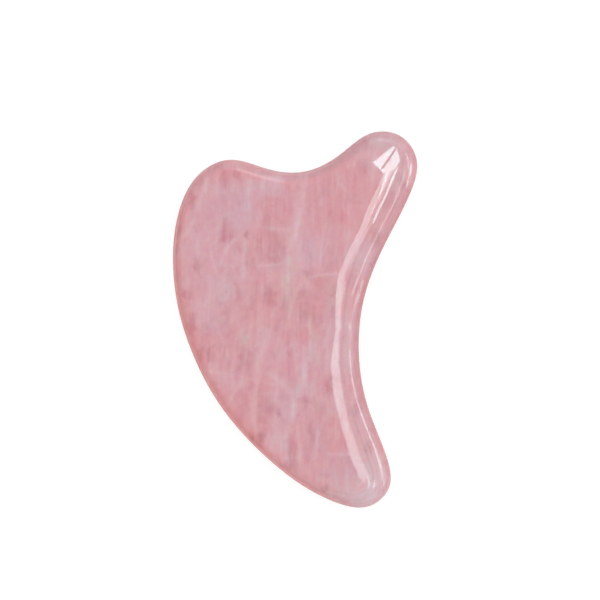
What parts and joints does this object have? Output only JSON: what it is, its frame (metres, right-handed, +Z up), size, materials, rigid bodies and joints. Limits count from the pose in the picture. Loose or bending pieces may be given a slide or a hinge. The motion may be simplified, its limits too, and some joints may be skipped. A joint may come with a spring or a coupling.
{
  "type": "gua sha scraper",
  "caption": "One-piece polished stone massage scraper with a long convex blade, a notch between two rounded lobes, a broad concave edge and a tapered tail.",
  "frame": {"origin": "middle of the underside's bounding rectangle, on the flat face the tool rests on", "axes": "+Z up through the slab's thickness; +Y along the tool's length, from the tail to the horn; +X towards the concave edge, with the long convex blade on -X"},
  "size_m": [0.0648, 0.1, 0.0075],
  "materials": {
    "rose_quartz": "polished"
  },
  "bodies": {
    "root": {"stone_scraper": "rose_quartz"}
  },
  "joints": []
}
